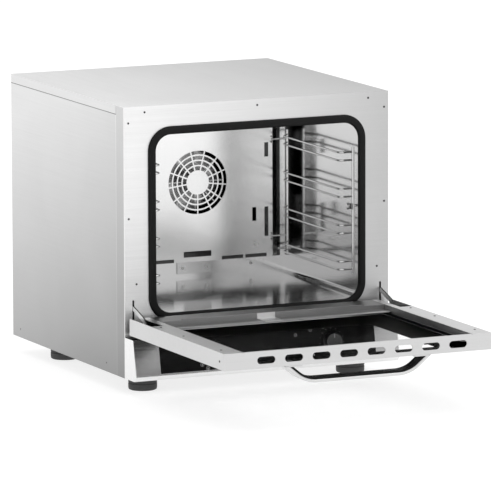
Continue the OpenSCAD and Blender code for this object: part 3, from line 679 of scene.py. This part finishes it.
def make_handle():
    """Bent strap handle with welded end plates, and its soft inner lining."""
    low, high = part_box("handle_bar")
    centre_y = (low.y + high.y) / 2
    half_wide = (high.y - low.y) / 2
    strap = 6.5 * MM
    lining = 4.2 * MM
    lining_half = 12.5 * MM
    lining_y = low.y + lining_half + 1 * MM
    sunk = 0.2 * MM
    plate = 3 * MM
    plate_inwards = 32 * MM
    plate_outwards = 3 * MM
    bow = {"straight": 90 * MM, "inner_radius": 70 * MM, "bend_deg": 39}
    bm = bmesh.new()
    path = handle_path(strap / 2, low.z, high.z - plate / 2, **bow)
    skin_rows(bm, strap_rows(path, half_wide, strap, 2.2 * MM, centre_y))
    end = path[-1][0].x
    for side in (-1, 1):
        inner, outer = sorted((side * (end - plate_inwards), side * (end + plate_outwards)))
        rounded_box(bm, (inner, low.y, high.z - plate), (outer, high.y, high.z), 1.0 * MM)
    piece_from("door_handle", bm, "handle_metal", "door", ["handle_bar"])
    bm = bmesh.new()
    path = handle_path(strap + lining / 2 - sunk, low.z, high.z - plate - sunk, **bow)
    skin_rows(bm, strap_rows(path, lining_half, lining, 1.2 * MM, lining_y))
    piece_from("handle_grip", bm, "handle_rubber", "door", ["handle_liner"])


# ---------------------------------------------------------------- screws and rivets

def screw_head(bm, base, axis, radius, sides=24):
    """Domed head with a cross recess, standing on base along axis."""
    turn = Vector(axis).to_track_quat("Z", "Y").to_matrix()
    rise = HEAD_RISE * radius
    rows = [(1.0, 0.0, False), (1.0, 0.35, False), (0.86, 0.78, False), (0.62, 1.0, False),
            (0.60, 1.0, True), (0.42, 0.15, True)]
    made = []
    for scale, height, in_recess in rows:
        row = []
        for i in range(sides):
            angle = 2 * math.pi * i / sides
            lobe = 0.5 + 0.5 * abs(math.cos(2 * angle)) ** 1.5 if in_recess else 1.0
            r = radius * scale * lobe
            spot = Vector((r * math.cos(angle), r * math.sin(angle), rise * height))
            row.append(Vector(base) + turn @ spot)
        made.append(row)
    skin_rows(bm, made)


def side_head(bm, low, high, radius, sunk):
    """Head on the end that a solid with this box turns away from the middle of X."""
    side = math.copysign(1, low.x + high.x)
    outside = high.x if side > 0 else low.x
    base = (outside - side * sunk, (low.y + high.y) / 2, (low.z + high.z) / 2)
    screw_head(bm, base, (side, 0, 0), radius)


def make_front_screws():
    """Screws round the cavity's opening, facing forwards."""
    radius = 2.2 * MM
    bm = bmesh.new()
    for low, high in islands("frame_screws"):
        base = ((low.x + high.x) / 2, low.y + HEAD_RISE * radius, (low.z + high.z) / 2)
        screw_head(bm, base, (0, -1, 0), radius)
    piece_from("front_screws", bm, "screw_steel", "casing", ["frame_screws"])


def make_side_screws():
    """Screws low on the casing's side panels."""
    bm = bmesh.new()
    for low, high in islands("casing_screws"):
        side_head(bm, low, high, 2.8 * MM, sunk=1.2 * MM)
    piece_from("side_screws", bm, "screw_steel", "casing", ["casing_screws"])


def make_border_screws():
    """Screws on the door's inner border, and one on each of its side edges."""
    radius = 2.4 * MM
    sunk = 1.0 * MM
    bm = bmesh.new()
    for low, high in islands("door_screws"):
        if high.x - low.x < high.z - low.z:
            side_head(bm, low, high, radius, sunk)
        else:
            base = ((low.x + high.x) / 2, (low.y + high.y) / 2, high.z - sunk)
            screw_head(bm, base, (0, 0, 1), radius)
    piece_from("border_screws", bm, "screw_steel", "door", ["door_screws"])


def make_back_screws():
    """Row of sheet-metal screws round the back panel's edge."""
    low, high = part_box("back_panel")
    inset = 9 * MM
    from_ends = 40 * MM
    apart = 180 * MM
    bm = bmesh.new()
    spots = [(x, z) for x in (low.x + inset, high.x - inset)
             for z in (low.z + from_ends, (low.z + high.z) / 2, high.z - from_ends)]
    spots += [(x, z) for z in (low.z + inset, high.z - inset) for x in (-apart, 0.0, apart)]
    for x, z in spots:
        screw_head(bm, (x, rear_y, z), (0, 1, 0), 4.0 * MM)
    piece_from("back_screws", bm, "screw_steel", "casing")


def make_hook_rivets():
    """Two small rivets at each hook where the racks hang on the fan baffle."""
    hook_x = 186.4 * MM
    hook_heights = (247 * MM, 451 * MM)
    half_apart = 6 * MM
    head = [(1.8 * MM, 0), (1.8 * MM, 0.4 * MM), (1.2 * MM, 0.9 * MM), (0.4 * MM, 1.1 * MM)]
    bm = bmesh.new()
    for x in (-hook_x, hook_x):
        for middle in hook_heights:
            for z in (middle + half_apart, middle - half_apart):
                turned(bm, head, (x, baffle_y, z), (0, -1, 0), sides=16)
    piece_from("hook_rivets", bm, "screw_steel", "casing")


# ---------------------------------------------------------------- feet

def make_feet():
    """Rubber-clad screw feet with two grooves and a chamfered sole."""
    groove = 1.4 * MM
    groove_depth = 1.2 * MM
    groove_heights = (0.42, 0.72)
    for node in ("front_left_foot", "front_right_foot", "rear_left_foot", "rear_right_foot"):
        low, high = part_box(node)
        radius = (high.x - low.x) / 2
        height = high.z - low.z
        outline = [(radius - 8 * MM, 0.0), (radius - 3 * MM, 0.0), (radius - 1 * MM, 1.2 * MM),
                   (radius - 0.2 * MM, 3.5 * MM), (radius, 6 * MM)]
        for share in groove_heights:
            z = height * share
            outline += [(radius, z - groove), (radius - groove_depth, z - groove / 2),
                        (radius - groove_depth, z + groove / 2), (radius, z + groove)]
        outline += [(radius, height - 4 * MM), (radius - 0.6 * MM, height - 2.4 * MM),
                    (radius - 2 * MM, height - 2 * MM), (radius - 2.4 * MM, height)]
        bm = bmesh.new()
        base = ((low.x + high.x) / 2, (low.y + high.y) / 2, low.z)
        turned(bm, outline, base, (0, 0, 1), sides=72)
        piece_from(node.replace("_foot", "_rubber_foot"), bm, "foot_rubber", "casing",
                   [node], smooth_deg=28)


# ---------------------------------------------------------------- control panel

def panel_directions():
    """Unit vectors out of the control panel's face and up along it."""
    out = Vector(joints["knob_turn"]["axis"])
    if out.y > 0:
        out = -out
    up = out.cross(Vector((1, 0, 0)))
    if up.z < 0:
        up = -up
    return out, up


panel_out, panel_up = panel_directions()


def on_panel(across, up, out):
    """Point on the control panel, from the knob's axis: across, up the face, outwards."""
    centre = Vector(joints["knob_turn"]["pos_m"])
    return centre + Vector((across, 0, 0)) + panel_up * up + panel_out * out


def make_knob():
    """Turned dial with a fluted grip, a flared skirt and a pointer line."""
    radius = 17.5 * MM
    flutes = 40
    grip_start = 4.2 * MM
    grip_end = 14.5 * MM

    def grip(height, angle):
        return ribbed(0.025, flutes, angle) if grip_start < height < grip_end else 1.0
    outline = [(3 * MM, -16 * MM), (3 * MM, 1.2 * MM), (radius + 1.5 * MM, 1.2 * MM),
               (radius + 1.5 * MM, 2.6 * MM), (radius + 0.8 * MM, 3.4 * MM), (radius, 3.6 * MM),
               (radius, 4.4 * MM), (radius, 14.2 * MM), (radius - 0.2 * MM, 14.8 * MM),
               (radius - 1.2 * MM, 16.0 * MM), (radius - 2.6 * MM, 16.4 * MM),
               (radius - 4.0 * MM, 16.1 * MM), (1.0 * MM, 15.9 * MM)]
    bm = bmesh.new()
    turned(bm, outline, on_panel(0, 0, 0), panel_out, sides=flutes * 6, flute=grip)
    piece_from("dial_knob", bm, "knob_metal", "knob", ["control_knob"])
    line_half = 0.9 * MM
    line_start = 6 * MM
    line_end = 15 * MM
    corners = [(-line_half, line_start), (line_half, line_start),
               (line_half, line_end), (-line_half, line_end)]
    bm = bmesh.new()
    skin_rows(bm, [[on_panel(x, up, out) for x, up in corners]
                   for out in (16.0 * MM, 16.7 * MM)])
    piece_from("dial_pointer", bm, "icon_print", "knob")


def make_icons():
    """Plain marks printed on the control glass: drops, rings, bars and an arc of dots.

    Their places and sizes are in millimetres, from the knob's axis.
    """
    bm = bmesh.new()
    lift = 0.45 * MM
    film = 0.12 * MM

    def shape(points):
        skin_rows(bm, [[on_panel(x * MM, up * MM, lift) for x, up in points],
                       [on_panel(x * MM, up * MM, lift + film) for x, up in points]])

    def ring(x, up, radius, wide, turns=20):
        arcs = [(math.cos(2 * math.pi * i / turns), math.sin(2 * math.pi * i / turns))
                for i in range(turns)]
        loops = [[on_panel((x + c * r) * MM, (up + s * r) * MM, lift + h) for c, s in arcs]
                 for r, h in ((radius, 0), (radius, film), (radius - wide, film), (radius - wide, 0))]
        skin_rows(bm, loops, closed_rows=True)

    def disc(x, up, radius, turns=12):
        shape([(x + radius * math.cos(2 * math.pi * i / turns),
                up + radius * math.sin(2 * math.pi * i / turns)) for i in range(turns)])

    def bar(x, up, half_x, half_up):
        shape([(x - half_x, up - half_up), (x + half_x, up - half_up),
               (x + half_x, up + half_up), (x - half_x, up + half_up)])

    def drop(x, up, size):
        belly = 0.62 * size
        belly_up = up - 0.35 * size
        points = [(x, up + size)]
        for degrees in range(40, 321, 28):
            angle = math.radians(degrees)
            points.append((x - belly * math.sin(angle), belly_up + belly * math.cos(angle)))
        shape(points)

    for x, up in ((-292, -25), (-280, -33)):
        ring(x, up, radius=4.2, wide=0.9)
        drop(x, up, size=2.6)
    for x, up in ((-80, 18), (-46, 26), (-17, 30)):
        ring(x, up, radius=3.6, wide=0.8)
        bar(x, up, half_x=1.8, half_up=0.45)
    scale_radius = 27
    scale_dots = 11
    scale_start = -210
    scale_step = 24
    for i in range(scale_dots):
        angle = math.radians(scale_start + scale_step * i)
        disc(scale_radius * math.cos(angle), -scale_radius * math.sin(angle), radius=0.9)
    for x in (-60, -51, -42):
        drop(x, -24, size=2.4)
    piece_from("panel_icons", bm, "icon_print", "casing")


# ---------------------------------------------------------------- back of the casing

def louvre_rows(x, z, wide, tall, reach, steps=8):
    """Cross-sections along one pressed hood, whose open lower edge is just under z.

    Each goes down the outside of the hood and back up its inside.
    """
    rows = []
    for i in range(steps + 1):
        share = i / steps
        swell = math.sin(math.pi * share) ** 0.45
        at = x + (share - 0.5) * wide
        lip = max(reach * swell, 0.15 * MM)
        top = z + 2 * MM + (tall - 2 * MM) * max(swell, 0.3)
        rows.append([(at, rear_y, top), (at, rear_y + lip * 0.8, top - 3 * MM),
                     (at, rear_y + lip, z - 0.5 * MM),
                     (at, rear_y + lip - 0.1 * MM - lip * 0.15, z - 0.5 * MM),
                     (at, rear_y + lip * 0.6, top - 3.4 * MM),
                     (at, rear_y - 0.2 * MM, top - 1 * MM)])
    return rows


def make_louvres():
    """Pressed hoods over the ventilation slots in the back panel."""
    column_gap = 95 * MM
    lowest = 370 * MM
    row_gap = 14 * MM
    row_count = 7
    bm = bmesh.new()
    for column in (-1, 0, 1):
        for row in range(row_count):
            skin_rows(bm, louvre_rows(column * column_gap, lowest + row * row_gap,
                                      wide=74 * MM, tall=9 * MM, reach=5 * MM))
    piece_from("back_louvres", bm, "casing_steel", "casing", smooth_deg=50)


def make_inlet_thread():
    """Thread on the water inlet, as a row of rings."""
    inlet = mounts["water_inlet"]["pos_m"]
    start = rear_y + 3 * MM
    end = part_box("water_valve")[1].y - 1.5 * MM
    pitch = 2.2 * MM
    rings = int((end - start) / pitch)
    hidden = 12.0 * MM
    root = 13.3 * MM
    crest = 14.0 * MM
    outline = [(hidden, 0.0)]
    for i in range(rings):
        outline += [(root, i * pitch + 0.2 * MM), (crest, i * pitch + 0.9 * MM),
                    (crest, i * pitch + 1.2 * MM), (root, i * pitch + 1.9 * MM)]
    outline.append((hidden, rings * pitch + 0.2 * MM))
    bm = bmesh.new()
    turned(bm, outline, (inlet[0], start, inlet[2]), (0, 1, 0))
    piece_from("inlet_thread", bm, "copper", "casing", smooth_deg=20)


def make_gland():
    """Cable gland with a flange and a ribbed cap nut."""
    low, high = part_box("cable_gland")
    centre = (low + high) / 2
    nut_start = 18 * MM

    def nut(height, angle):
        return ribbed(0.07, 10, angle) if height > nut_start else 1.0
    outline = [(9.8 * MM, 0), (9.8 * MM, 12 * MM), (14 * MM, 13.5 * MM), (14 * MM, 17 * MM),
               (12.6 * MM, 19 * MM), (12.4 * MM, 25 * MM), (9.5 * MM, 29 * MM),
               (6.6 * MM, 32.4 * MM), (5.4 * MM, 32.6 * MM), (4.6 * MM, 32 * MM), (4.6 * MM, 20 * MM)]
    bm = bmesh.new()
    turned(bm, outline, (centre.x, low.y, centre.z), (0, 1, 0), sides=60, flute=nut)
    piece_from("gland_nut", bm, "black_plastic", "casing", ["cable_gland"])


# ---------------------------------------------------------------- cavity details

def make_rack_nuts():
    """Knurled nut on each screw that holds a rack to the cavity's side wall."""
    least_screw = 8 * MM
    knurl_end = 4.5 * MM
    outline = [(2 * MM, -1.2 * MM), (5.2 * MM, -1.0 * MM), (6.5 * MM, 0.0), (6.5 * MM, 4 * MM),
               (5.4 * MM, 5 * MM), (3.4 * MM, 5.4 * MM), (2.4 * MM, 6 * MM), (2.4 * MM, 13 * MM)]

    def knurl(height, angle):
        return ribbed(0.06, 18, angle) if height < knurl_end else 1.0
    for low, high in islands("rack_thumb_screws"):
        if high.x - low.x < least_screw:
            # One of the racks' thin tabs, which the screws go through
            continue
        side = math.copysign(1, low.x + high.x)
        inner = low.x if side > 0 else high.x
        centre = (inner, (low.y + high.y) / 2, (low.z + high.z) / 2)
        bm = bmesh.new()
        turned(bm, outline, centre, (side, 0, 0), sides=72, flute=knurl)
        name = "right_rack_nut" if side > 0 else "left_rack_nut"
        piece_from(name, bm, "rack_wire", "casing")


# ---------------------------------------------------------------- stage

def make_stage():
    """Pale floor with a little light of its own, so that it fades into the background."""
    half_size = 40.0
    bm = bmesh.new()
    bmesh.ops.create_grid(bm, x_segments=1, y_segments=1, size=half_size)
    mesh = bpy.data.meshes.new("studio_floor")
    bm.to_mesh(mesh)
    bm.free()
    floor = bpy.data.objects.new("studio_floor", mesh)
    bpy.context.scene.collection.objects.link(floor)
    pale = Recipe("studio_floor", Roughness=0.9, Specular_IOR_Level=0.1)
    pale.set("Base Color", pale.tint(pale.noise(0.8), grey(0.31), grey(0.33)))
    pale.set("Emission Color", (1, 1, 1, 1))
    pale.set("Emission Strength", 0.77)
    floor.data.materials.append(pale.material)


def softbox(name, place, target, size, power):
    """Large soft light, unseen by the camera. size is its two sides, and power is in watts."""
    data = bpy.data.lights.new(name, "AREA")
    data.shape = "RECTANGLE"
    data.size, data.size_y = size
    data.energy = power
    lamp = bpy.data.objects.new(name, data)
    bpy.context.scene.collection.objects.link(lamp)
    lamp.location = place
    lamp.rotation_euler = (Vector(target) - Vector(place)).to_track_quat("-Z", "Y").to_euler()
    lamp.visible_camera = False


def make_lights():
    """White surroundings, a wide light above and behind, and a small one over the front."""
    world = bpy.data.worlds.new("studio")
    bpy.context.scene.world = world
    world.use_nodes = True
    sky = world.node_tree.nodes["Background"]
    sky.inputs["Color"].default_value = (1, 1, 1, 1)
    sky.inputs["Strength"].default_value = 0.8
    softbox("top_light", place=(0.6, 2.6, 6.0), target=(0.6, 2.6, 0), size=(8, 12), power=205)
    softbox("front_pool", place=(1.5, -3.6, 2.4), target=(1.5, -3.6, 0), size=(1.5, 1.5), power=30)


def make_camera():
    """Long lens, from the front left and a little above. Its angles are in degrees."""
    heading = 24.701
    down = 8.984
    roll = 0.175
    place = (-5.4478, front_y - 11.8067, 2.3329)
    data = bpy.data.cameras.new("camera")
    data.sensor_width = 36
    data.lens = 466.3
    data.clip_end = 200
    camera = bpy.data.objects.new("camera", data)
    bpy.context.scene.collection.objects.link(camera)
    turn = (Matrix.Rotation(math.radians(-heading), 4, "Z")
            @ Matrix.Rotation(math.radians(90 - down), 4, "X")
            @ Matrix.Rotation(math.radians(-roll), 4, "Z"))
    camera.matrix_world = Matrix.Translation(place) @ turn
    bpy.context.scene.camera = camera


# ---------------------------------------------------------------- build

make_camera()
for node_name, node in cad.items():
    dress(node, own_finish.get(node_name, slot_of[node_name]))

for node_name in ("inner_glass", "glass_clips", "glass_holder"):
    soften(node_name)

make_gasket()
make_gap_shadow_strip()
make_glass_print()
make_glass_strip()
make_handle()
make_front_screws()
make_side_screws()
make_border_screws()
make_back_screws()
make_hook_rivets()
make_feet()
make_knob()
make_icons()
make_louvres()
make_inlet_thread()
make_gland()
make_rack_nuts()
make_stage()
make_lights()
bpy.context.scene.view_settings.view_transform = "Standard"
